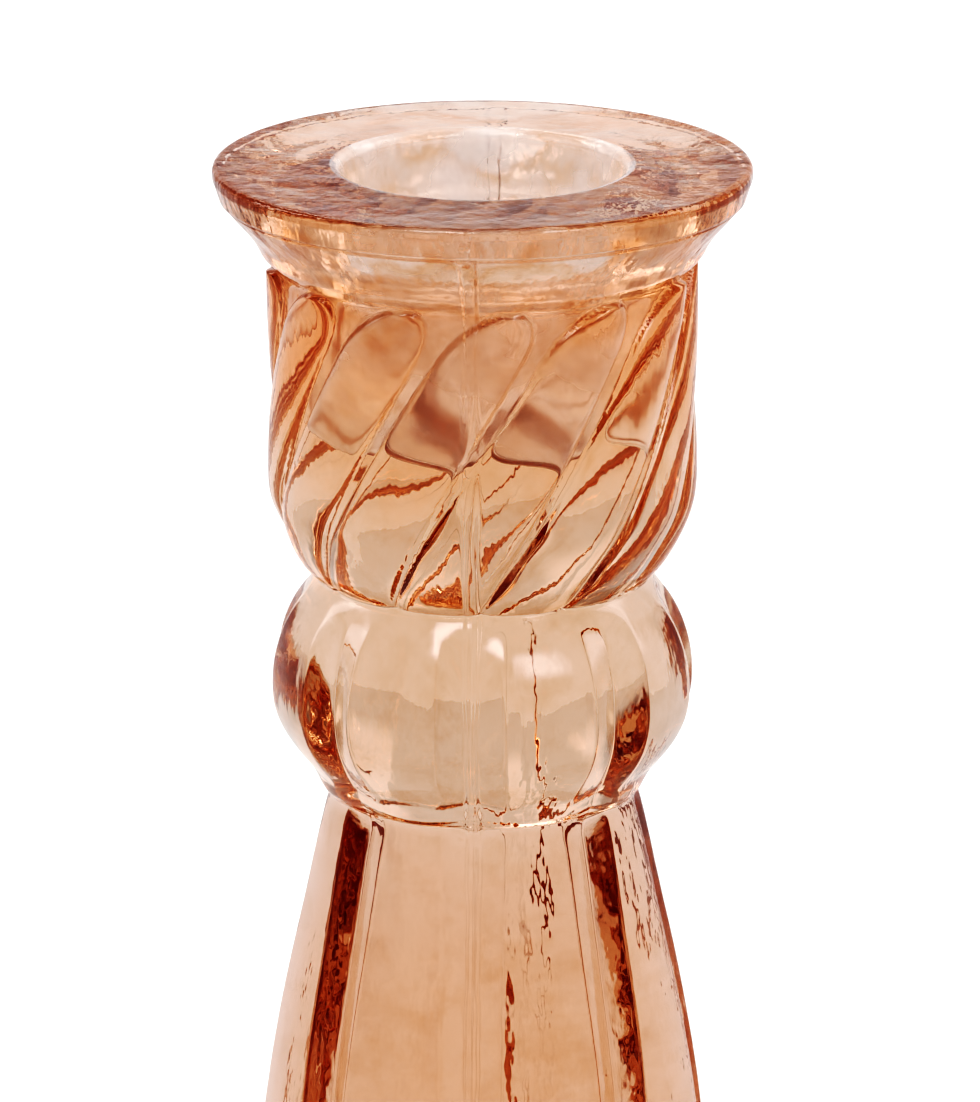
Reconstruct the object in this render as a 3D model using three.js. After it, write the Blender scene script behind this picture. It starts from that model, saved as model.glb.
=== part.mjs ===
// A pressed-glass candlestick: a flat rim round a taper-candle socket, a flared neck, a cup with
// twelve swirled gadroons, a melon knop of eight lobes, a solid stem of eight panels and a round
// foot. Millimetres, +Z up. The origin is the middle of the plane that the foot stands on, and
// the mould seam runs down the front, at -Y, and down the back.
//
// The glass was pressed in one mould, so its sections grow out of each other. Each section is a
// solid of its own here, and a hair's gap stands for the plane where it meets the next.
import * as THREE from "three";
import { mergeVertices } from "three/addons/utils/BufferGeometryUtils.js";

// Heights of the planes between the sections, from the rim down.
const HEIGHT = 170;
const RIM_BOTTOM = HEIGHT - 2.9;
const NECK_BOTTOM = HEIGHT - 8.8;
const CUP_BOTTOM = HEIGHT - 36.8;
const KNOP_BOTTOM = HEIGHT - 55.6;
const STEM_BOTTOM = 30;
const COLLAR_BOTTOM = 24;
const SECTION_GAP = 0.3;

// Rim and socket. The socket narrows a little, so that it grips a taper candle.
const RIM_RADIUS = 23.5;
const RIM_EDGE_HEIGHT = 1;
const RIM_UNDERSIDE_RADIUS = 22.9;
const RIM_ARRIS = 0.15;
const SOCKET_MOUTH_RADIUS = 12.4;
const SOCKET_LIP_RADIUS = 1;
const SOCKET_FLOOR_RADIUS = 10;
const SOCKET_DEPTH = 24;

// Swirled gadroons of the cup. Angles are in degrees.
const CUP_RADIUS = 18.75;
const GADROONS = 12;
const GADROON_DEPTH = 0.9;
const GADROON_TWIST = 1.95;          // lean, for each millimetre of height
const GADROON_VALLEY = -3.75;        // where a valley starts, at the neck
const GADROON_RISE = 2;              // height over which the valleys sink in below the neck
const GADROON_TIP = 4.4;             // radius of the round tops
const GADROON_SHARE_TOP = 0.8;       // share of the pitch that a gadroon fills, at the top
const GADROON_SHARE_BOTTOM = 0.94;   // and at the bottom
const GADROON_FLATTENING = 0.6;      // share of the depth that is lost in the cup's round bottom

// Melon knop, stem panels and foot grooves, which share one pitch.
const PANELS = 8;
const KNOP_GROOVE_DEPTH = 1.7;
const KNOP_GROOVE_HALF_WIDTH = 2.9;
const KNOP_ROUNDNESS = 0.6;          // 0 is a flat panel, 1 a round one
const KNOP_GROOVE_POWER = 0.7;       // below 1, the grooves stay deep towards the knop's ends
const STEM_GROOVE_SHARE = 0.078;     // depth of the stem's grooves as a share of its radius
const STEM_GROOVE_GROWTH = 0.12;     // and how much that share grows on the way down
const STEM_GROOVE_GROWTH_LENGTH = 45;
const STEM_GROOVE_HALF_WIDTH = 2.5;
const STEM_ROUNDNESS = 0.78;
const STEM_GROOVE_RUN_OUT = 2.5;     // length over which the stem's grooves fade at its ends
const FOOT_RADIUS = 37;
const FOOT_EDGE_HEIGHT = 4.4;
const FOOT_CHAMFER = 0.8;
const FOOT_RING_INNER_RADIUS = 29;
const FOOT_HOLLOW_HEIGHT = 3.5;
const FOOT_GROOVE_DEPTH = 0.7;
const FOOT_GROOVE_HEIGHT = 14;       // where the foot's grooves reach their full depth

const { clamp, degToRad, lerp, radToDeg, smoothstep } = THREE.MathUtils;

const peachGlass = () => new THREE.MeshStandardMaterial({
  color: 0xe3b28c, roughness: 0.04, metalness: 0, transparent: true, opacity: 0.45,
});

const point = (radius, height) => new THREE.Vector2(radius, height);

// A smooth outline through a few points given as [radius, height].
function smooth(points, steps) {
  return new THREE.SplineCurve(points.map(([radius, height]) => point(radius, height)))
    .getPoints(steps);
}

// Place across one of `count` equal sectors: -1 and 1 at its two edges, 0 in its middle.
function across(angle, count) {
  const turns = angle * count / 360;
  return 2 * (turns - Math.floor(turns)) - 1;
}

// Turns an outline round +Z. Points farther out than `innerRadius` are first turned by the angle
// that `twist` gives for their height, and then moved to the radius that `relief` gives. Azimuth
// is 0 at the front seam and grows towards +X.
function turned(outline, segments, { relief = null, twist = () => 0, innerRadius = 0.5 } = {}) {
  const geometry = new THREE.LatheGeometry(outline, segments);
  geometry.rotateX(Math.PI / 2);
  geometry.deleteAttribute("normal");
  geometry.deleteAttribute("uv");
  const place = geometry.attributes.position;
  for (let i = 0; relief && i < place.count; i += 1) {
    const radius = Math.hypot(place.getX(i), place.getY(i));
    if (radius > innerRadius) {
      const height = place.getZ(i);
      const azimuth = radToDeg(Math.atan2(place.getX(i), -place.getY(i))) + twist(height);
      const moved = relief(azimuth, height, radius);
      const angle = degToRad(azimuth);
      place.setXY(i, moved * Math.sin(angle), -moved * Math.cos(angle));
    }
  }
  const closed = mergeVertices(geometry, 1e-3);
  closed.computeVertexNormals();
  return closed;
}

function section(name, geometry) {
  const mesh = new THREE.Mesh(geometry, peachGlass());
  mesh.name = name;
  return mesh;
}

// Radius of the tapered socket at a height.
function socketRadius(height) {
  return lerp(SOCKET_MOUTH_RADIUS, SOCKET_FLOOR_RADIUS, (HEIGHT - height) / SOCKET_DEPTH);
}

// ---- Sections, from the top down ----

function rim() {
  const bottom = RIM_BOTTOM + SECTION_GAP / 2;
  const lipBottom = HEIGHT - SOCKET_LIP_RADIUS;
  const lipCentre = socketRadius(lipBottom) + SOCKET_LIP_RADIUS;
  const lip = [0, 1, 2, 3].map((step) => {
    const turn = Math.PI / 2 * step / 3;
    return point(
      lipCentre - SOCKET_LIP_RADIUS * Math.sin(turn),
      lipBottom + SOCKET_LIP_RADIUS * Math.cos(turn),
    );
  });
  const outline = [
    point(socketRadius(bottom), bottom),
    point(RIM_UNDERSIDE_RADIUS, bottom),
    point(RIM_RADIUS, HEIGHT - RIM_EDGE_HEIGHT),
    point(RIM_RADIUS, HEIGHT - RIM_ARRIS),
    point(RIM_RADIUS - RIM_ARRIS, HEIGHT),
    ...lip,
    point(socketRadius(bottom), bottom),
  ];
  return section("rim", turned(outline, 64));
}

function flaredNeck() {
  const bottom = NECK_BOTTOM + SECTION_GAP / 2;
  const top = RIM_BOTTOM - SECTION_GAP / 2;
  const cove = smooth([
    [18.95, bottom], [19.35, HEIGHT - 7.6], [20.5, HEIGHT - 5.6], [21.8, HEIGHT - 4.2],
    [22.8, top],
  ], 6);
  const outline = [
    point(socketRadius(bottom), bottom),
    ...cove,
    point(socketRadius(top), top),
    point(socketRadius(bottom), bottom),
  ];
  return section("flared_neck", turned(outline, 64));
}

// How far the gadroons have turned at a height, counted from the neck.
const gadroonTwist = (height) => GADROON_TWIST * (height - NECK_BOTTOM);

// Each gadroon is a convex band with a round top, leaning over as it goes down the cup.
function gadroonRelief(azimuth, height, radius) {
  const place = Math.abs(across(azimuth - GADROON_VALLEY - gadroonTwist(height), GADROONS));
  const below = NECK_BOTTOM - height;
  const share = below / (NECK_BOTTOM - CUP_BOTTOM);
  const tip = 1 - clamp(below / GADROON_TIP, 0, 1);
  const half = Math.sqrt(1 - tip * tip) * lerp(GADROON_SHARE_TOP, GADROON_SHARE_BOTTOM, share);
  const crown = place < half ? Math.sqrt(1 - (place / half) ** 2) : 0;
  const sunk = smoothstep(below, 0, GADROON_RISE);
  const flattened = 1 - GADROON_FLATTENING * smoothstep(share, 0.8, 1);
  return radius - GADROON_DEPTH * sunk * flattened * (1 - crown);
}

function swirledCup() {
  const bottom = CUP_BOTTOM + SECTION_GAP / 2;
  const top = NECK_BOTTOM - SECTION_GAP / 2;
  const floor = HEIGHT - SOCKET_DEPTH;
  const roundStart = HEIGHT - 28;
  const round = smooth([
    [14.8, bottom], [16.4, HEIGHT - 34.7], [17.5, HEIGHT - 32.8], [18.5, HEIGHT - 30.2],
    [CUP_RADIUS, roundStart],
  ], 5);
  const wall = smooth([
    [CUP_RADIUS, roundStart], [CUP_RADIUS, HEIGHT - 20], [CUP_RADIUS, HEIGHT - 13],
    [18.85, HEIGHT - 10.4], [18.9, top],
  ], 7);
  const outline = [
    point(0, bottom), ...round, ...wall.slice(1),
    point(socketRadius(top), top), point(SOCKET_FLOOR_RADIUS, floor), point(0, floor),
  ];
  const shaping = { relief: gadroonRelief, twist: gadroonTwist, innerRadius: 14 };
  return section("swirled_cup", turned(outline, GADROONS * 8, shaping));
}

// How far in a surface of eight soft panels lies, with a vee groove between each pair.
function flutedDepth(azimuth, radius, grooveDepth, halfWidth, roundness) {
  const halfPitch = 180 / PANELS;
  const fromMiddle = Math.abs(across(azimuth, PANELS)) * halfPitch;
  const fromGroove = degToRad(halfPitch - fromMiddle) * radius;
  const flat = 1 - Math.cos(degToRad(halfPitch)) / Math.cos(degToRad(fromMiddle));
  const groove = grooveDepth * Math.max(0, 1 - fromGroove / halfWidth);
  return radius * flat * (1 - roundness) + groove;
}

// Eight convex lobes that meet in sharp upright grooves, one of them on the seam.
function melonRelief(azimuth, height, radius) {
  const share = clamp((height - KNOP_BOTTOM) / (CUP_BOTTOM - KNOP_BOTTOM), 0, 1);
  const swell = Math.sin(Math.PI * share) ** KNOP_GROOVE_POWER;
  const depth = flutedDepth(
    azimuth, radius, KNOP_GROOVE_DEPTH * swell, KNOP_GROOVE_HALF_WIDTH, KNOP_ROUNDNESS,
  );
  return radius - depth * smoothstep(swell, 0, 0.5);
}

function melonKnop() {
  const bottom = KNOP_BOTTOM + SECTION_GAP / 2;
  const top = CUP_BOTTOM - SECTION_GAP / 2;
  const lobe = smooth([
    [14.1, bottom], [15.9, HEIGHT - 53.1], [17.7, HEIGHT - 51], [18.7, HEIGHT - 48.6],
    [18.9, HEIGHT - 46], [18.3, HEIGHT - 42.4], [17.1, HEIGHT - 39.6], [15, top],
  ], 10);
  const outline = [point(0, bottom), ...lobe, point(0, top)];
  return section("melon_knop", turned(outline, PANELS * 12, { relief: melonRelief }));
}

// Eight soft panels below the knop's lobes, and the grooves carry on between them.
function panelRelief(azimuth, height, radius) {
  const fromEnd = Math.min(KNOP_BOTTOM - height, height - STEM_BOTTOM);
  const growth = smoothstep(KNOP_BOTTOM - height, 0, STEM_GROOVE_GROWTH_LENGTH);
  const share = STEM_GROOVE_SHARE * (1 + STEM_GROOVE_GROWTH * growth);
  const grooveDepth = share * radius * smoothstep(fromEnd, 0, STEM_GROOVE_RUN_OUT);
  return radius
    - flutedDepth(azimuth, radius, grooveDepth, STEM_GROOVE_HALF_WIDTH, STEM_ROUNDNESS);
}

function panelledStem() {
  const bottom = STEM_BOTTOM + SECTION_GAP / 2;
  const top = KNOP_BOTTOM - SECTION_GAP / 2;
  const side = smooth([
    [13.6, bottom], [16, 36], [18.8, 44], [20.6, 53.5], [21.1, 62.5], [20.7, 73],
    [19.6, HEIGHT - 85.4], [17.85, HEIGHT - 74.5], [15.95, HEIGHT - 65.7],
    [14.55, HEIGHT - 59.2], [13.75, top],
  ], 13);

  const outline = [point(0, bottom), ...side, point(0, top)];
  return section("panelled_stem", turned(outline, PANELS * 12, { relief: panelRelief }));
}

function lowerCollar() {
  const bottom = COLLAR_BOTTOM + SECTION_GAP / 2;
  const top = STEM_BOTTOM - SECTION_GAP / 2;
  const middle = (bottom + top) / 2;
  const bead = smooth([
    [14.6, bottom], [16.4, middle - 1.6], [16.9, middle], [16.4, middle + 1.6], [14.4, top],
  ], 6);
  return section("lower_collar", turned([point(0, bottom), ...bead, point(0, top)], 64));
}

// Shallow grooves run down the foot below the stem's edges and fade out towards its own edge.
function footRelief(azimuth, height, radius) {
  const share = smoothstep(height, FOOT_EDGE_HEIGHT, FOOT_GROOVE_HEIGHT);
  return radius - FOOT_GROOVE_DEPTH * share * Math.abs(across(azimuth, PANELS)) ** 3;
}

function foot() {
  const top = COLLAR_BOTTOM - SECTION_GAP / 2;
  const hollow = smooth([
    [0, FOOT_HOLLOW_HEIGHT], [12, FOOT_HOLLOW_HEIGHT - 0.3], [23, 1.9],
    [FOOT_RING_INNER_RADIUS, 0],
  ], 4);
  const dome = smooth([
    [FOOT_RADIUS, FOOT_EDGE_HEIGHT], [34.6, 6.3], [28.5, 8.4], [22.5, 11.8], [18, 16.6],
    [15.4, top],
  ], 8);
  const outline = [
    ...hollow, point(FOOT_RADIUS - FOOT_CHAMFER, 0), point(FOOT_RADIUS, FOOT_CHAMFER),
    ...dome, point(0, top),
  ];
  return section("foot", turned(outline, PANELS * 8, { relief: footRelief }));
}

const candlestick = new THREE.Group();
candlestick.add(
  rim(), flaredNeck(), swirledCup(), melonKnop(), panelledStem(), lowerCollar(), foot(),
);

export default candlestick;
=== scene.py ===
import math

import bpy
import numpy as np
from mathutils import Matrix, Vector


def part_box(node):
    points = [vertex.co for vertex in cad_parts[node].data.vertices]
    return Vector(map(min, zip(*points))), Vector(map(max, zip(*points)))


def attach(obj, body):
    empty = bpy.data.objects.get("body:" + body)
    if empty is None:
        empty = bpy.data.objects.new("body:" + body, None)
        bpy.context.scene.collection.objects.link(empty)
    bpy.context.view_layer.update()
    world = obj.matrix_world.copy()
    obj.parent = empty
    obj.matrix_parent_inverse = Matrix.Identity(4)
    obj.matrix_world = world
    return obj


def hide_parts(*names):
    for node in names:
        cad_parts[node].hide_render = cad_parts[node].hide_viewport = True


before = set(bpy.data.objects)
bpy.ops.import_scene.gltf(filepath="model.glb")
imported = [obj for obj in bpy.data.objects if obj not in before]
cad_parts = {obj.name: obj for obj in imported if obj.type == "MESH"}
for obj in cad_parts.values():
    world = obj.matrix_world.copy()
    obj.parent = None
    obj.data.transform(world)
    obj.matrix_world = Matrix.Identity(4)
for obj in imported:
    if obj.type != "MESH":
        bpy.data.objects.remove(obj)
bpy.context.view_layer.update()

MM = 0.001


def level(node, end):
    """Height of a CAD section's bottom (end 0) or top (end 1), in millimetres."""
    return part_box(node)[end].z / MM


def between(upper, lower):
    """Height of the plane where two CAD sections meet, in the middle of their gap."""
    return (level(upper, 0) + level(lower, 1)) / 2


RIM_TOP = level("rim", 1)
RIM_BOTTOM = between("rim", "flared_neck")
NECK_BOTTOM = between("flared_neck", "swirled_cup")
CUP_BOTTOM = between("swirled_cup", "melon_knop")
KNOP_BOTTOM = between("melon_knop", "panelled_stem")
STEM_BOTTOM = between("panelled_stem", "lower_collar")
COLLAR_BOTTOM = between("lower_collar", "foot")
RIM_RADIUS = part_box("rim")[1].x / MM
FOOT_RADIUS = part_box("foot")[1].x / MM


# ---- Shape, in millimetres and degrees ----

SOCKET_DEPTH = 24.0
SOCKET_MOUTH = 12.4        # the socket's radius at the rim, before the rounded lip
SOCKET_FLOOR = 10.0        # and at its floor
SOCKET_LIP = 1.0           # radius of the rounded lip
SOCKET_CORNER = 1.0        # radius of the corner between the wall and the floor
RIM_EDGE = 1.0             # height of the rim's upright edge, with its rounded corner
RIM_ARRIS = 0.6            # radius of that corner
CREASE_RADIUS = 22.66      # where the ring meets the neck

GADROONS = 12
GADROON_DEPTH = 1.15
GADROON_TWIST = 1.95       # degrees for each millimetre of height
GADROON_VALLEY = -3.75     # azimuth of a valley where the gadroons begin
GADROON_RISE = 1.6         # how far above the neck's lower end the valleys start to sink
GADROON_SINK = 0.8         # and how far below it they reach their full depth
GADROON_TIP = 4.4          # length of a gadroon's rounded top end
GADROON_WIDTH = 0.8        # share of its sector that a gadroon fills at the top
GADROON_WIDENING = 0.15    # and how much more of it at the bottom
GADROON_FADE = 0.55        # how much shallower the valleys end
GADROON_FADE_START = 0.8   # share of the way down the cup where that begins
PANELS = 8
GROOVE_BOTTOM = 0.15       # how rounded a groove's bottom is between two panels
GROOVE_CREST = 0.10        # and the crests on both sides of it
KNOP_GROOVE = 1.6
KNOP_GROOVE_END = 0.12     # depth of the knop's grooves at their ends
KNOP_HALF_WIDTH = 2.9
KNOP_ROUNDNESS = 0.6       # 0 for flat panels, 1 for panels that follow the circle
STEM_GROOVE = 0.078        # depth as a share of the stem's radius
STEM_GROOVE_GROWTH = 0.12  # and how much it grows by the stem's widest height
STEM_GROWTH_LENGTH = 45
STEM_GROOVE_END = 0.05     # depth of the stem's grooves at their ends
STEM_HALF_WIDTH = 2.5
STEM_ROUNDNESS = 0.78
LOBE_DROP = 0.6            # how much lower the knop's lobes hang than the grooves between them
LOBE_DROP_ABOVE = 0.4      # height above the knop's lower end where they hang lowest
LOBE_DROP_REACH = 0.9      # and how far up and down from there it fades
FOOT_GROOVE = 0.75
FOOT_GROOVE_ENDS = (5, 14)  # heights where the foot's grooves start and reach full depth
STANDING_HEIGHT = 6.0      # below this the foot stays plain and true
SEAM_HEIGHT = 0.3
SEAM_HALF_WIDTH = 0.6

COLUMNS = 640
COLUMN_CROWDING = 0.45     # how much closer the columns stand at the panels' edges

# Fire-polished glass is never quite true: each wave's height, its length, its seed and how far
# it is drawn out along each axis.
STIRRINGS = [
    (0.010, 9, 3, (1, 1, 1)),
    (0.0036, 3.2, 8, (1, 1, 1)),
    (0.006, 4, 5, (1, 1, 5)),
]


# ---- Glass ----

GLASS_IOR = 1.52
ABSORPTION_COLOUR = (0.7333, 0.3967, 0.1033, 1)
ABSORPTION_DENSITY = 30

# The socket's wall and floor are a little hazy from the plunger. Lengths in metres.
BORE_RADIUS = 0.0133
BORE_BOTTOM = 0.1455
BORE_ROUGHNESS = 0.16
BORE_HAZE = (0.08, 0.45)   # least and most of the surface that is milky
HAZE_EDGES = (0.4, 0.65)   # the noise at which it is least and most
BORE_COLOUR = (0.96, 0.95, 0.97, 1)

# Noise fields, each with its scale, detail and roughness.
HAZE_NOISE = (140, 3, 0.5)
DRIFT_NOISE = (130, 4, 0.5)
SMOKE_NOISE = (210, 5, 0.65)
RIPPLE_NOISE = (300, 3, 0.5)

# Tint of the surface by height in millimetres: the glass's own colour, and painted shade in
# the two dark bands at 161 and 166 mm, which darken the creases at the neck's foot and under
# the rim. It lies in uneven streaks round the ring.
TINTS_AND_CREASE_SHADE = [
    (0, (0.96, 0.84, 0.80)),
    (110, (0.96, 0.84, 0.80)),
    (116, (1, 0.98, 0.98)),
    (138, (1, 0.97, 0.96)),
    (146, (0.985, 0.78, 0.66)),
    (151, (0.985, 0.65, 0.48)),
    (159, (0.99, 0.61, 0.44)),
    # painted shade: a dark band in the crease where the neck meets the cup
    (161, (0.84, 0.42, 0.24)),
    (162.5, (0.99, 0.66, 0.50)),
    (164.5, (0.97, 0.62, 0.44)),
    # painted shade: a dark band in the crease under the rim
    (166, (0.80, 0.40, 0.22)),
    (167.5, (0.99, 0.75, 0.62)),
    (169, (0.98, 0.73, 0.61)),
    (169.7, (0.95, 0.81, 0.74)),
]
TINT_DRIFT = 0.016         # metres by which noise shifts the tint up and down, in all
STAIN = (0.86, 0.78, 0.70, 1)
STAIN_EDGES = (0.48, 0.72)  # the smoke noise at which a stain begins and is full

# Strength of the ripples by height in millimetres.
RIPPLES = [(0, 0.25), (113, 0.25), (119, 0.16), (132, 0.1), (152, 0.12), (160, 0.3), (168, 0.8)]
RIPPLE_DEPTH = 0.00048
RIPPLE_STRETCH = (1, 1, 0.4)
SEED_SCALE = 260
SEED_CHOSEN = 0.86         # cells whose random number is above this hold a seed
SEED_EDGES = (0.04, 0.13)  # from its middle, where a seed begins to shallow and ends
SEED_DEPTH = 0.6           # as a share of the ripples' depth


# ---- Studio ----

FLOOR_HALF = 6.0
FLOOR_LEVEL = -0.0003      # a touch low, so that it shares no plane with the foot's ring
FLOOR_SHADE = 0.76
FLOOR_GLOW = 0.03
FLOOR_GLOW_TO_CAMERA = 0.5

# How bright the wall is by how far round it stands from the front, in degrees.
WALLS = [
    (0, 0.6), (45, 0.6), (55, 0.9), (70, 0.9), (80, 0.3), (98, 0.3), (104, 3.0),
    (112, 3.0), (120, 0.7), (142, 0.55), (148, 1.25), (160, 1.25), (168, 0.9), (180, 0.9),
]
LOW_WALL = 0.9
WALL_FOOT = (6, 16)        # degrees up, below which the wall is the same all round
SKY_LOW = 0.95
SKY_HIGH = 0.45
SKY_EDGE = (25, 60)        # degrees up, where the bright wall gives way to the dim ceiling
ZENITH = 1.5
ZENITH_EDGE = (62, 72)
# Each softbox: azimuth and elevation of its middle, its half-width and half-height, and how
# bright it is. Angles are in degrees.
SOFTBOXES = [
    (-24, 52, 16, 7, 9.0),
    (42, 34, 9, 10, 6.0),
    (125, 40, 12, 9, 3.0),
    (200, 46, 12, 8, 3.0),
    (-105, 38, 10, 10, 3.0),
]
SOFT_EDGE = 6

CAMERA_DISTANCE = 0.9      # from the axis, along the floor
CAMERA_ABOVE_RIM = 0.2249
CAMERA_PITCH = 16.11
CAMERA_AZIMUTH = 3.3       # the front seam lies a little to the left
CAMERA_LENS = 349.1        # millimetres, on a 36 mm sensor along the frame's long side
AXIS_OFFSET = 0.00065      # the axis lies this far left of the picture's middle

# The picture's black level, its contrast, and further depth in its darks for red, green and
# blue, which makes them a warm red-brown.
BLACK = (0.0, 0.035, 0.035)
CONTRAST = [(0.05, 0.012), (0.1, 0.034), (0.2, 0.115), (0.32, 0.26), (0.5, 0.49), (0.75, 0.755)]
DEPTH = [
    [(0.1, 0.08), (0.2, 0.17), (0.35, 0.328), (0.5, 0.492), (0.65, 0.65), (0.8, 0.81)],
    [(0.025, 0.007), (0.06, 0.031), (0.12, 0.085), (0.2, 0.175), (0.35, 0.35), (0.6, 0.605)],
    [(0.03, 0.01), (0.08, 0.045), (0.15, 0.116), (0.22, 0.206), (0.3, 0.303), (0.45, 0.467),
     (0.7, 0.71)],
]


# ---- Outline helpers ----

def spline(points, count):
    """A natural cubic spline through (radius, height) points, at `count` even steps."""
    knots = np.array(points, float)
    chord = np.hypot(*np.diff(knots, axis=0).T)
    at = np.concatenate([[0], np.cumsum(chord)])
    n = len(knots)
    system = np.zeros((n, n))
    right = np.zeros((n, 2))
    system[0, 0] = system[-1, -1] = 1
    for i in range(1, n - 1):
        system[i, i - 1:i + 2] = chord[i - 1], 2 * (chord[i - 1] + chord[i]), chord[i]
        step_after = (knots[i + 1] - knots[i]) / chord[i]
        step_before = (knots[i] - knots[i - 1]) / chord[i - 1]
        right[i] = 6 * (step_after - step_before)
    bend = np.linalg.solve(system, right)
    where = np.linspace(0, at[-1], count)
    i = np.clip(np.searchsorted(at, where) - 1, 0, n - 2)
    width = chord[i][:, None]
    after = (where - at[i])[:, None]
    before = width - after
    return (
        bend[i] * before**3 / (6 * width) + bend[i + 1] * after**3 / (6 * width)
        + (knots[i] / width - bend[i] * width / 6) * before
        + (knots[i + 1] / width - bend[i + 1] * width / 6) * after
    )


def arc(centre, radius, start, end, count):
    """Points on a circular arc in the outline's plane, angles in degrees."""
    turn = np.radians(np.linspace(start, end, count))
    return np.stack([centre[0] + radius * np.cos(turn), centre[1] + radius * np.sin(turn)], 1)


def line(start, end, count):
    return np.linspace(start, end, count)


def smoothstep(value, low, high):
    share = np.clip((value - low) / (high - low), 0, 1)
    return share * share * (3 - 2 * share)


def across(azimuth, count):
    """Place across one of `count` equal sectors: -1 and 1 at its edges, 0 in its middle."""
    turns = azimuth * count / 360
    return 2 * (turns - np.floor(turns)) - 1


# ---- The outline, from the middle of the socket's floor to the middle of the foot's hollow ----

def socket_radius(height):
    return SOCKET_MOUTH + (SOCKET_FLOOR - SOCKET_MOUTH) * (RIM_TOP - height) / SOCKET_DEPTH


def socket_outline():
    floor_height = RIM_TOP - SOCKET_DEPTH
    lip_height = RIM_TOP - SOCKET_LIP
    wall_foot = floor_height + SOCKET_CORNER
    centre = socket_radius(wall_foot) - SOCKET_CORNER
    return [
        spline([(0.02, floor_height + 0.25), (4, floor_height + 0.2),
                (6.5, floor_height + 0.05), (centre, floor_height)], 14),
        arc((centre, wall_foot), SOCKET_CORNER, -90, 0, 8)[1:],
        line((socket_radius(wall_foot), wall_foot), (socket_radius(lip_height), lip_height),
             34)[1:],
        arc((socket_radius(lip_height) + SOCKET_LIP, lip_height), SOCKET_LIP, 180, 90, 10)[1:],
    ]


def rim_outline():
    mouth = socket_radius(RIM_TOP - SOCKET_LIP) + SOCKET_LIP
    shoulder = RIM_RADIUS - RIM_ARRIS
    return [
        spline([(mouth, RIM_TOP), (17, RIM_TOP - 0.1), (20.5, RIM_TOP - 0.08),
                (shoulder, RIM_TOP)], 22)[1:],
        arc((shoulder, RIM_TOP - RIM_ARRIS), RIM_ARRIS, 90, 0, 10)[1:],
        line((RIM_RADIUS, RIM_TOP - RIM_ARRIS), (RIM_RADIUS, RIM_TOP - RIM_EDGE), 5)[1:],
        line((RIM_RADIUS, RIM_TOP - RIM_EDGE), (22.95, RIM_BOTTOM + 0.12), 9)[1:],
    ]


def neck_outline():
    return [
        spline([(22.95, RIM_BOTTOM + 0.12), (22.62, RIM_BOTTOM + 0.02),
                (CREASE_RADIUS, RIM_BOTTOM - 0.14)], 5)[1:],
        spline([(CREASE_RADIUS, RIM_BOTTOM - 0.14), (21.7, RIM_TOP - 4.2),
                (20.4, RIM_TOP - 5.7), (19.4, RIM_TOP - 7.5), (18.95, NECK_BOTTOM)], 26)[1:],
    ]


def cup_outline():
    radius = 18.8
    return [
        spline([(18.95, NECK_BOTTOM), (18.86, RIM_TOP - 10.4), (radius, RIM_TOP - 13),
                (radius, RIM_TOP - 20), (radius, RIM_TOP - 27), (18.55, RIM_TOP - 30),
                (17.6, RIM_TOP - 32.6), (16.45, RIM_TOP - 34.7), (15.35, RIM_TOP - 36.1),
                (14.5, CUP_BOTTOM)], 120)[1:],
    ]


def knop_outline():
    return [
        spline([(14.5, CUP_BOTTOM), (15.5, RIM_TOP - 37.7), (17.1, RIM_TOP - 39.6),
                (18.4, RIM_TOP - 42.4), (19, RIM_TOP - 46), (18.75, RIM_TOP - 48.8),
                (17.7, RIM_TOP - 51.2), (15.9, RIM_TOP - 53.5), (14, KNOP_BOTTOM + 0.1)],
               72)[1:],
    ]


def stem_outline():
    return [
        spline([(14, KNOP_BOTTOM + 0.1), (13.75, KNOP_BOTTOM - 0.5)], 4)[1:],
        spline([(13.75, KNOP_BOTTOM - 0.5), (14.55, RIM_TOP - 59.2), (15.95, RIM_TOP - 65.7),
                (17.85, RIM_TOP - 74.5), (19.6, RIM_TOP - 85.4), (20.7, 73), (21.1, 62.5),
                (20.6, 53.5), (18.8, 44), (16.0, 36), (13.6, STEM_BOTTOM)], 150)[1:],
    ]


def foot_outline():
    middle = (STEM_BOTTOM + COLLAR_BOTTOM) / 2
    ring_outer = FOOT_RADIUS - 1.6
    ring_inner = 30.0
    return [
        spline([(13.6, STEM_BOTTOM), (15.9, middle + 1.9), (16.85, middle),
                (16.1, middle - 1.9), (14.4, COLLAR_BOTTOM)], 28)[1:],
        spline([(14.4, COLLAR_BOTTOM), (15.3, 22.6), (17.8, 16.8), (22.3, 11.9), (28.3, 8.5),
                (33.6, 6.7)], 56)[1:],
        spline([(33.6, 6.7), (36.2, 5.6), (FOOT_RADIUS, 3.6), (36.6, 1.2), (ring_outer, 0)],
               22)[1:],
        line((ring_outer, 0), (ring_inner, 0), 8)[1:],
        spline([(ring_inner, 0), (26.5, 1.2), (20, 2.5), (11, 3.3), (0.02, 3.5)], 30)[1:],
    ]


# ---- Relief: how far the surface stands in from the outline ----

def gadroon_turn(height):
    return GADROON_TWIST * (np.clip(height, CUP_BOTTOM, NECK_BOTTOM) - NECK_BOTTOM)


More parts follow.
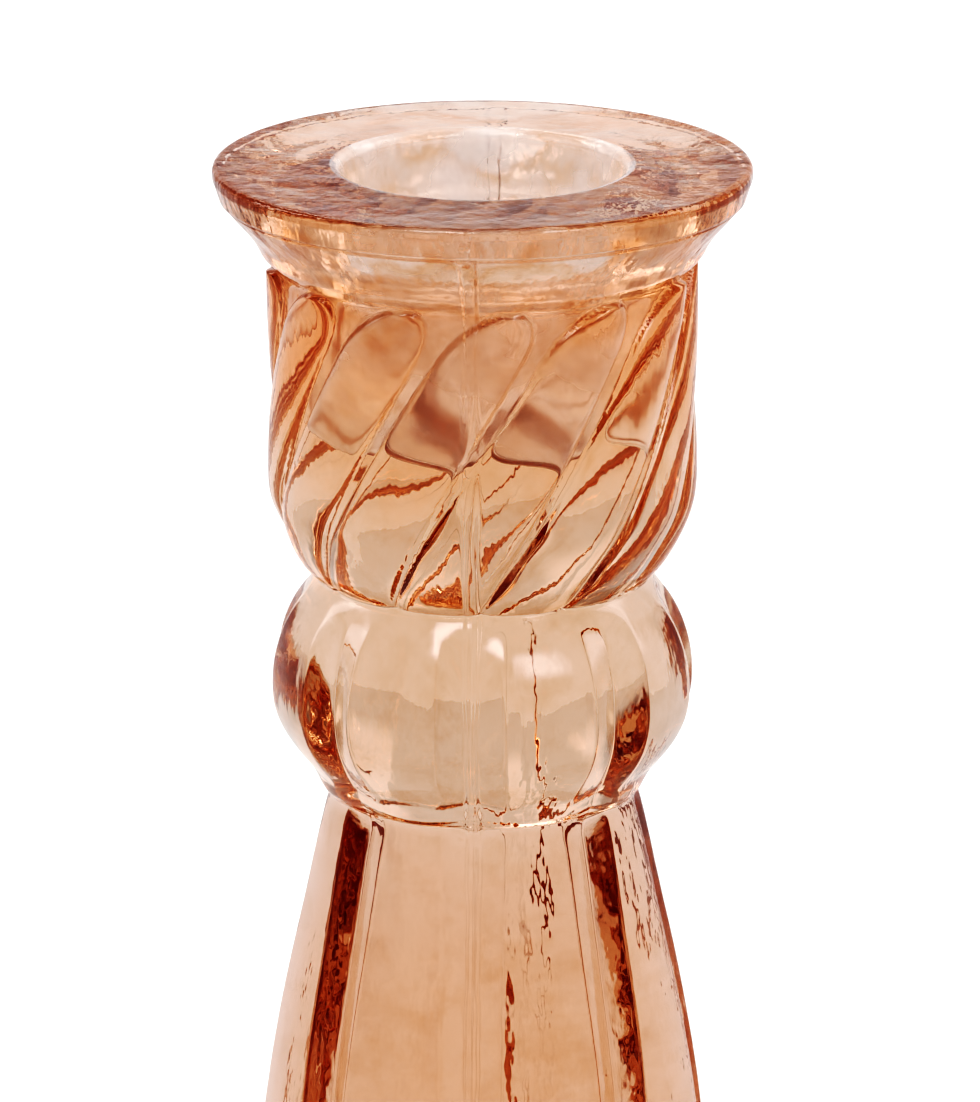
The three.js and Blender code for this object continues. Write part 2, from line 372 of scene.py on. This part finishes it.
def gadroon_depth(azimuth, height):
    """Rounded ribs that swirl down the cup, each with a rounded top end."""
    place = np.abs(across(azimuth - GADROON_VALLEY - gadroon_turn(height), GADROONS))
    below = NECK_BOTTOM - height
    share = np.clip(below / (NECK_BOTTOM - CUP_BOTTOM), 0, 1)
    tip = 1 - np.clip(below / GADROON_TIP, 0, 1)
    width = GADROON_WIDTH + GADROON_WIDENING * share
    half = np.sqrt(np.clip(1 - tip * tip, 1e-4, 1)) * width
    crown = np.sqrt(np.clip(1 - (place / half) ** 2, 0, 1))
    crown = np.where(below > 0, crown, 0)
    fade = 1 - GADROON_FADE * smoothstep(share, GADROON_FADE_START, 1)
    sunk = smoothstep(below, -GADROON_RISE, GADROON_SINK) * fade
    inside = (height < NECK_BOTTOM + GADROON_RISE) & (height > CUP_BOTTOM)
    return np.where(inside, GADROON_DEPTH * sunk * (1 - crown), 0)


def fluted_depth(azimuth, radius, groove_depth, half_width, roundness):
    """Soft-cornered panels with a vee groove between each pair."""
    half_pitch = 180 / PANELS
    from_middle = np.abs(across(azimuth, PANELS)) * half_pitch
    from_edge = np.radians(half_pitch - from_middle) * radius
    flat = 1 - math.cos(math.radians(half_pitch)) / np.cos(np.radians(from_middle))
    panel = radius * flat * (1 - roundness)
    slope = groove_depth / half_width
    rise = np.sqrt(from_edge ** 2 + GROOVE_BOTTOM ** 2) - GROOVE_BOTTOM
    vee = groove_depth - slope * rise
    soft = GROOVE_CREST ** 2
    vee = (vee + np.sqrt(vee ** 2 + soft)) / 2 - soft / (4 * groove_depth + 2 * GROOVE_CREST)
    return panel + vee


def melon_depth(azimuth, height, radius):
    share = (height - KNOP_BOTTOM) / (CUP_BOTTOM - KNOP_BOTTOM)
    inside = (share >= 0) & (share <= 1)
    swell = np.sin(np.pi * np.clip(share, 0, 1)) ** 0.7
    depth = fluted_depth(azimuth, radius, KNOP_GROOVE_END + KNOP_GROOVE * swell,
                         KNOP_HALF_WIDTH, KNOP_ROUNDNESS)
    return np.where(inside, depth * smoothstep(swell, 0, 0.5), 0)


def panel_depth(azimuth, height, radius):
    end = np.minimum(KNOP_BOTTOM - height, height - STEM_BOTTOM)
    inside = (height < KNOP_BOTTOM) & (height > STEM_BOTTOM)
    growth = 1 + STEM_GROOVE_GROWTH * smoothstep(KNOP_BOTTOM - height, 0, STEM_GROWTH_LENGTH)
    groove = STEM_GROOVE_END + STEM_GROOVE * growth * radius * smoothstep(end, -0.5, 2.5)
    depth = fluted_depth(azimuth, radius, groove, STEM_HALF_WIDTH, STEM_ROUNDNESS)
    return np.where(inside, depth * smoothstep(end, 0, 1.2), 0)


def foot_depth(azimuth, height, radius):
    """Shallow grooves that run out towards the foot's edge."""
    below_collar = 1 - smoothstep(height, COLLAR_BOTTOM - 1.5, COLLAR_BOTTOM)
    share = smoothstep(height, *FOOT_GROOVE_ENDS) * below_collar
    outside = (radius > 14) & (height < COLLAR_BOTTOM)
    return np.where(outside, FOOT_GROOVE * share * np.abs(across(azimuth, PANELS)) ** 3, 0)


def seam_height(azimuth, height, radius):
    """The mould seam, a fine raised line down the front and the back."""
    wander = 0.08 * np.sin(height * 0.35) + 0.04 * np.sin(height * 1.1 + 1)
    away = np.radians(np.abs((azimuth + 90) % 180 - 90)) * radius
    return SEAM_HEIGHT * np.exp(-((away - wander) / SEAM_HALF_WIDTH) ** 6)


def waves(points, wavelength, seed, stretch):
    """A smooth random field from -1 to 1, the sum of sine waves in random directions."""
    draw = np.random.RandomState(seed)
    total = np.zeros(points.shape[:-1])
    count = 12
    for _ in range(count):
        direction = draw.normal(size=3)
        direction /= np.linalg.norm(direction)
        scaled = direction / np.array(stretch) * 2 * np.pi / (wavelength * draw.uniform(0.7, 1.5))
        total += np.sin(points @ scaled + draw.uniform(0, 2 * np.pi))
    return total / math.sqrt(count)


# ---- The glass ----

def glass_points():
    """Rows of points round the axis, from the socket's floor to the foot's hollow."""
    socket_rows = np.concatenate(socket_outline())
    outer_rows = np.concatenate(rim_outline() + neck_outline() + cup_outline()
                                + knop_outline() + stem_outline() + foot_outline())
    outline = np.concatenate([socket_rows, outer_rows])
    is_outer = (np.arange(len(outline)) >= len(socket_rows))[:, None]
    radius, height = outline[:, :1], outline[:, 1:]

    even = np.linspace(0, 2 * np.pi, COLUMNS, endpoint=False)
    base = even - COLUMN_CROWDING * np.sin(PANELS * even) / PANELS
    azimuth = np.degrees(base)[None, :] + np.zeros_like(radius)
    # The columns lean with the gadroons, by one whole panel between the neck and the knop.
    lean = 360 / PANELS * (smoothstep(height, CUP_BOTTOM + 2.5, NECK_BOTTOM) - 1)
    azimuth = azimuth + np.where(is_outer, lean, 0)

    relief = (gadroon_depth(azimuth, height) + melon_depth(azimuth, height, radius)
              + panel_depth(azimuth, height, radius) + foot_depth(azimuth, height, radius))
    on_side = is_outer & (height > STANDING_HEIGHT) & (height < RIM_BOTTOM)
    raised = np.where(on_side, seam_height(azimuth, height, radius), 0)
    out = radius - np.where(is_outer, relief, 0) + raised
    sag = np.exp(-((height - KNOP_BOTTOM - LOBE_DROP_ABOVE) / LOBE_DROP_REACH) ** 2)
    drop = LOBE_DROP * sag * (1 - across(azimuth, PANELS) ** 2) * is_outer
    turn = np.radians(azimuth)
    outward = np.stack([np.sin(turn), -np.cos(turn), np.zeros_like(turn)], -1)
    points = outward * out[..., None]
    points[..., 2] = height - drop

    # The middle of the socket's floor and everything that the foot stands on stay true, and
    # the rim's flat top is stirred up and down only.
    side = smoothstep(radius, 2, 9)
    ease = side * np.where((height < STANDING_HEIGHT) & is_outer, 0.0, 1.0)
    stir = sum(size * waves(points, wavelength, seed, stretch)
               for size, wavelength, seed, stretch in STIRRINGS)
    on_top = (height > RIM_TOP - 0.15) & (radius > SOCKET_MOUTH)
    push = np.where(on_top[..., None], np.array([0, 0, 0.8]), outward)
    return points + push * (stir * ease)[..., None]


def swept_mesh(name, points):
    """A closed mesh from rows of points; the first and last rows shrink to one point each."""
    rows, columns = points.shape[:2]
    first = points[0].mean(0)
    last = points[-1].mean(0)
    vertices = np.concatenate([points[1:-1].reshape(-1, 3), [first, last]]) * MM
    row, column = np.meshgrid(np.arange(rows - 3), np.arange(columns), indexing="ij")
    after = (column + 1) % columns
    a = row * columns + column
    b = row * columns + after
    c = (row + 1) * columns + after
    d = (row + 1) * columns + column
    quads = np.stack([a, d, c, b], -1).reshape(-1, 4)
    top, bottom = len(vertices) - 2, len(vertices) - 1
    ring = np.arange(columns)
    ahead = (ring + 1) % columns
    base = (rows - 3) * columns
    caps = [(top, int(i), int(j)) for i, j in zip(ring, ahead)]
    caps += [(bottom, int(base + j), int(base + i)) for i, j in zip(ring, ahead)]
    mesh = bpy.data.meshes.new(name)
    mesh.from_pydata(vertices.tolist(), [], quads.tolist() + caps)
    mesh.validate()
    mesh.shade_smooth()
    mesh.update()
    piece = bpy.data.objects.new(name, mesh)
    bpy.context.scene.collection.objects.link(piece)
    return piece


class Graph:
    """Short ways to add nodes to a node tree; a value is a number, a tuple or a socket."""

    def __init__(self, tree):
        self.nodes, self.links = tree.nodes, tree.links

    def feed(self, socket, value):
        if isinstance(value, bpy.types.NodeSocket):
            self.links.new(value, socket)
        else:
            socket.default_value = value

    def node(self, kind, inputs=None, **settings):
        node = self.nodes.new("ShaderNode" + kind)
        for name, value in settings.items():
            setattr(node, name, value)
        for name, value in (inputs or {}).items():
            self.feed(node.inputs[name], value)
        return node

    def math(self, operation, *values):
        return self.node("Math", dict(enumerate(values)), operation=operation).outputs[0]

    def scaled(self, vector, factors):
        inputs = {0: vector, 1: factors}
        return self.node("VectorMath", inputs, operation="MULTIPLY").outputs[0]

    def ramp(self, value, low, high, at_low, at_high, shape="LINEAR"):
        inputs = {"Value": value, "From Min": low, "From Max": high, "To Min": at_low,
                  "To Max": at_high}
        return self.node("MapRange", inputs, interpolation_type=shape).outputs["Result"]

    def stops(self, value, stops, shape="LINEAR"):
        """A colour for each value from 0 to 1, from (place, colour or grey) stops."""
        node = self.node("ValToRGB", {"Fac": value})
        node.color_ramp.interpolation = shape
        elements = node.color_ramp.elements
        while len(elements) < len(stops):
            elements.new(0.5)
        for element, (place, colour) in zip(elements, stops):
            element.position = place
            element.color = (*(colour if isinstance(colour, tuple) else (colour,) * 3), 1)
        return node.outputs["Color"]

    def noise(self, vector, scale, detail, roughness):
        inputs = {"Vector": vector, "Scale": scale, "Detail": detail, "Roughness": roughness}
        return self.node("TexNoise", inputs).outputs["Fac"]

    def mixed(self, factor, first, second, blend="MIX"):
        node = self.node("Mix", data_type="RGBA", blend_type=blend)
        for socket, value in zip((node.inputs[0], node.inputs[6], node.inputs[7]),
                                 (factor, first, second)):
            self.feed(socket, value)
        return node.outputs[2]


def by_height(table):
    """A table by millimetres of height, as stops by shares of the candlestick's height."""
    return [(height / RIM_TOP, value) for height, value in table]


def peach_glass():
    material = bpy.data.materials.new("peach_glass")
    material.use_nodes = True
    shader = material.node_tree.nodes["Principled BSDF"]
    graph = Graph(material.node_tree)
    place = graph.node("TexCoord").outputs["Object"]
    height = graph.node("SeparateXYZ", {0: place}).outputs[2]
    whole = RIM_TOP * MM

    # The socket's wall and floor.
    from_axis = graph.node("VectorMath", {0: graph.scaled(place, (1, 1, 0))},
                           operation="LENGTH").outputs["Value"]
    bore = graph.math("MULTIPLY", graph.math("LESS_THAN", from_axis, BORE_RADIUS),
                      graph.math("GREATER_THAN", height, BORE_BOTTOM))
    clouds = graph.noise(place, *HAZE_NOISE)
    milky = graph.ramp(clouds, *HAZE_EDGES, -BORE_HAZE[0], -BORE_HAZE[1])

    # The colour lies a little stronger near the top and down the stem, with painted shade in two
    # dark bands at the neck's creases, and faint smoky stains.
    drift = graph.math("MULTIPLY_ADD", graph.noise(place, *DRIFT_NOISE), TINT_DRIFT,
                       -TINT_DRIFT / 2)
    tint_and_crease_shade = graph.stops(graph.math("DIVIDE", graph.math("ADD", height, drift), whole),
                       by_height(TINTS_AND_CREASE_SHADE))
    smoke = graph.ramp(graph.noise(place, *SMOKE_NOISE), *STAIN_EDGES, 0, 1)
    tint_stains_and_crease_shade = graph.mixed(smoke, tint_and_crease_shade, STAIN, blend="MULTIPLY")

    # Ripples drawn out along the axis, and small seeds, as in cheap pressed glass.
    ripple = graph.noise(graph.scaled(place, RIPPLE_STRETCH), *RIPPLE_NOISE)
    cells = graph.node("TexVoronoi", {"Vector": place, "Scale": SEED_SCALE})
    dimple = graph.ramp(cells.outputs["Distance"], *SEED_EDGES, 1, 0, shape="SMOOTHSTEP")
    number = graph.node("SeparateColor", {0: cells.outputs["Color"]}).outputs[0]
    seeds = graph.math("MULTIPLY", dimple, graph.math("GREATER_THAN", number, SEED_CHOSEN))
    relief = graph.math("MULTIPLY_ADD", seeds, -SEED_DEPTH, ripple)
    strength = graph.stops(graph.math("DIVIDE", height, whole), by_height(RIPPLES))
    bump = graph.node("Bump", {"Strength": strength, "Distance": RIPPLE_DEPTH,
                               "Height": relief})

    for name, value in {
        # The base colour is the glass's tint and smoky stains, with painted shade at the neck's
        # creases.
        "Base Color": graph.mixed(bore, tint_stains_and_crease_shade, BORE_COLOUR),
        "Roughness": graph.math("MULTIPLY", bore, BORE_ROUGHNESS),
        "IOR": GLASS_IOR,
        "Transmission Weight": graph.math("MULTIPLY_ADD", bore, milky, 1),
        "Normal": bump.outputs["Normal"],
    }.items():
        graph.feed(shader.inputs[name], value)
    absorb = graph.node("VolumeAbsorption", {"Color": ABSORPTION_COLOUR,
                                             "Density": ABSORPTION_DENSITY})
    graph.feed(material.node_tree.nodes["Material Output"].inputs["Volume"],
               absorb.outputs["Volume"])
    return material


def build_glass():
    piece = swept_mesh("pressed_glass", glass_points())
    piece.data.materials.append(peach_glass())
    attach(piece, "root")
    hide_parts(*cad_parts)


# ---- Studio ----

def floor():
    """A pale table. To the camera it glows a little, so that it shows plain and pale."""
    mesh = bpy.data.meshes.new("floor")
    corners = [(-1, -1), (1, -1), (1, 1), (-1, 1)]
    mesh.from_pydata([(x * FLOOR_HALF, y * FLOOR_HALF, FLOOR_LEVEL) for x, y in corners],
                     [], [(0, 1, 2, 3)])
    piece = bpy.data.objects.new("floor", mesh)
    material = bpy.data.materials.new("pale_floor")
    material.use_nodes = True
    shader = material.node_tree.nodes["Principled BSDF"]
    graph = Graph(material.node_tree)
    to_camera = graph.node("LightPath").outputs["Is Camera Ray"]
    for name, value in {
        "Base Color": (FLOOR_SHADE, FLOOR_SHADE, FLOOR_SHADE, 1),
        "Roughness": 0.7,
        "Specular IOR Level": 0.2,
        "Emission Color": (1, 1, 1, 1),
        "Emission Strength": graph.ramp(to_camera, 0, 1, FLOOR_GLOW, FLOOR_GLOW_TO_CAMERA),
    }.items():
        graph.feed(shader.inputs[name], value)
    piece.data.materials.append(material)
    bpy.context.scene.collection.objects.link(piece)


def studio():
    """A wall all round, dimmer or brighter by direction, a dim ceiling with a bright middle,
    and softboxes. The camera itself sees plain white."""
    world = bpy.data.worlds.new("studio")
    bpy.context.scene.world = world
    world.use_nodes = True
    graph = Graph(world.node_tree)

    def edge(value, ends, at_low, at_high):
        low, high = (math.radians(end) for end in ends)
        return graph.ramp(value, low, high, at_low, at_high, shape="SMOOTHSTEP")

    def inside(value, half):
        return edge(value, (half - SOFT_EDGE, half + SOFT_EDGE), 1, 0)

    place = graph.node("TexCoord").outputs["Generated"]
    x, y, z = graph.node("SeparateXYZ", {0: place}).outputs
    elevation = graph.math("ARCSINE", z)
    azimuth = graph.math("ARCTAN2", x, graph.math("MULTIPLY", y, -1))
    round_from_front = graph.math("DIVIDE", graph.math("ABSOLUTE", azimuth), math.pi)
    walls = graph.stops(round_from_front, [(turn / 180, glow) for turn, glow in WALLS],
                        shape="EASE")
    above = edge(elevation, WALL_FOOT, 0, 1)
    low_wall = graph.math("MULTIPLY", graph.math("SUBTRACT", 1, above), LOW_WALL)
    walls = graph.math("MULTIPLY_ADD", walls, above, low_wall)
    light = graph.math("ADD",
                       graph.math("MULTIPLY", edge(elevation, SKY_EDGE, SKY_LOW, SKY_HIGH),
                                  walls),
                       edge(elevation, ZENITH_EDGE, 0, ZENITH))
    for turn, rise, half_width, half_height, strength in SOFTBOXES:
        away = graph.math("WRAP", graph.math("SUBTRACT", azimuth, math.radians(turn)),
                          math.pi, -math.pi)
        off = graph.math("SUBTRACT", elevation, math.radians(rise))
        glow = graph.math("MULTIPLY", inside(graph.math("ABSOLUTE", away), half_width),
                          inside(graph.math("ABSOLUTE", off), half_height))
        light = graph.math("ADD", light, graph.math("MULTIPLY", glow, strength))

    to_camera = graph.node("LightPath").outputs["Is Camera Ray"]
    seen = graph.node("Mix", data_type="FLOAT")
    for socket, value in zip((seen.inputs[0], seen.inputs[2], seen.inputs[3]),
                             (to_camera, light, 1)):
        graph.feed(socket, value)
    background = world.node_tree.nodes["Background"]
    graph.feed(background.inputs["Color"], (1, 1, 1, 1))
    graph.feed(background.inputs["Strength"], seen.outputs[0])


def camera():
    data = bpy.data.cameras.new("camera")
    data.sensor_width = 36
    data.lens = CAMERA_LENS
    data.clip_start, data.clip_end = 0.01, 50
    view = bpy.data.objects.new("camera", data)
    turn = math.radians(CAMERA_AZIMUTH)
    right = Vector((math.cos(turn), math.sin(turn), 0))
    back = Vector((math.sin(turn), -math.cos(turn), 0))
    height = RIM_TOP * MM + CAMERA_ABOVE_RIM
    view.location = back * CAMERA_DISTANCE + right * AXIS_OFFSET + Vector((0, 0, height))
    view.rotation_euler = (math.radians(90 - CAMERA_PITCH), 0, turn)
    bpy.context.scene.collection.objects.link(view)
    bpy.context.scene.camera = view


def render_settings():
    """Enough bounces for light to find its way through glass, and the picture's tones."""
    scene = bpy.context.scene
    scene.cycles.max_bounces = 48
    scene.cycles.transmission_bounces = 48
    scene.cycles.glossy_bounces = 32
    scene.cycles.diffuse_bounces = 4
    view = scene.view_settings
    view.view_transform = "Standard"
    view.use_curve_mapping = True
    tones = view.curve_mapping
    tones.black_level = BLACK
    for curve, points in zip(tones.curves, [*DEPTH, CONTRAST]):
        for at, to in points:
            curve.points.new(at, to)
    tones.update()


camera()
build_glass()
floor()
studio()
render_settings()
